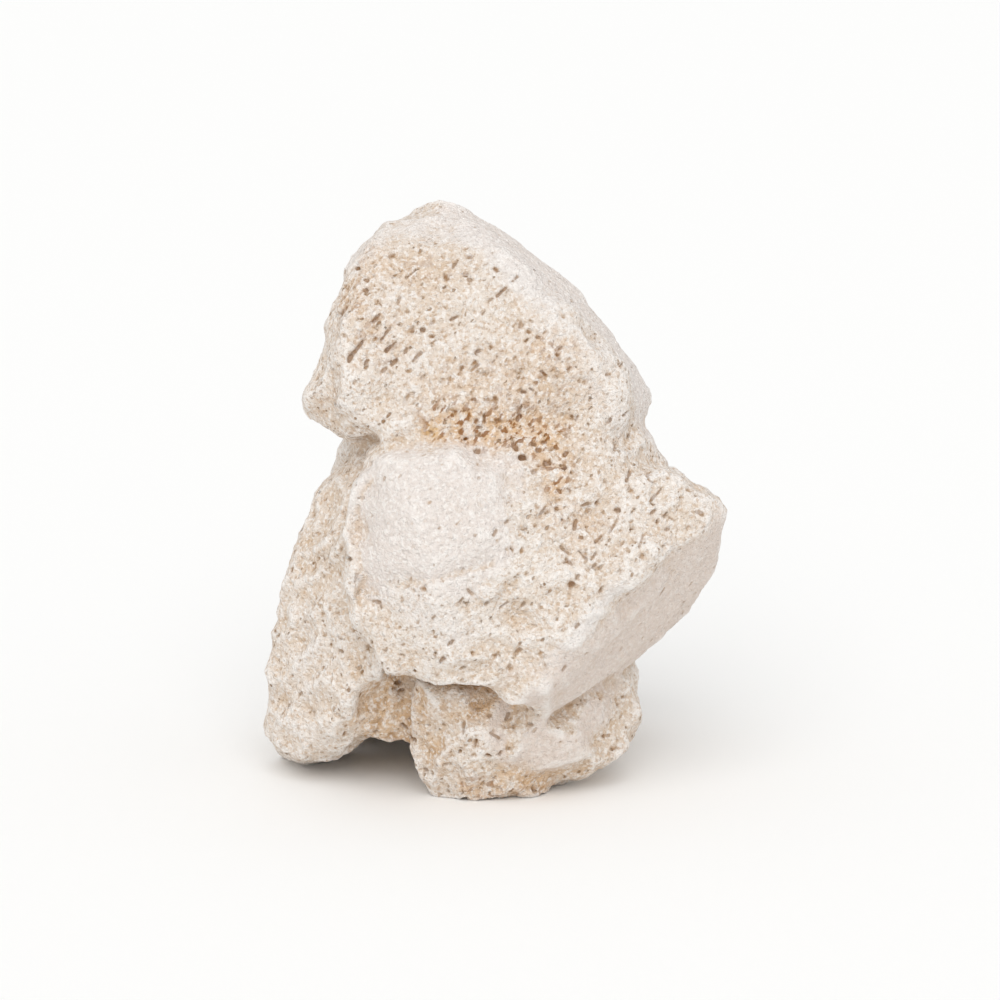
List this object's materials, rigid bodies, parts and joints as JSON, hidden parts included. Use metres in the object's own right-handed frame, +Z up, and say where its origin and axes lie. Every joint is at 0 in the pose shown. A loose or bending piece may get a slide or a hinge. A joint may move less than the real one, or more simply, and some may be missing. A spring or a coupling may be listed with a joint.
{
  "type": "dry reef rock",
  "caption": "Dry reef rock: a pale, porous lump of reef limestone with a tall crown, a side wing and hollows, standing on its own underside.",
  "frame": {"origin": "on the standing plane, below the middle of the rock's outside measures", "axes": "+Z up, along the rock's tallest measure; the pictured front faces -Y; the wing points to +X"},
  "size_m": [0.1098, 0.0912, 0.1378],
  "materials": {
    "reef_limestone": "dry, chalky, matt, finely pitted limestone"
  },
  "bodies": {
    "root": {"reef_rock": "reef_limestone"}
  },
  "joints": []
}
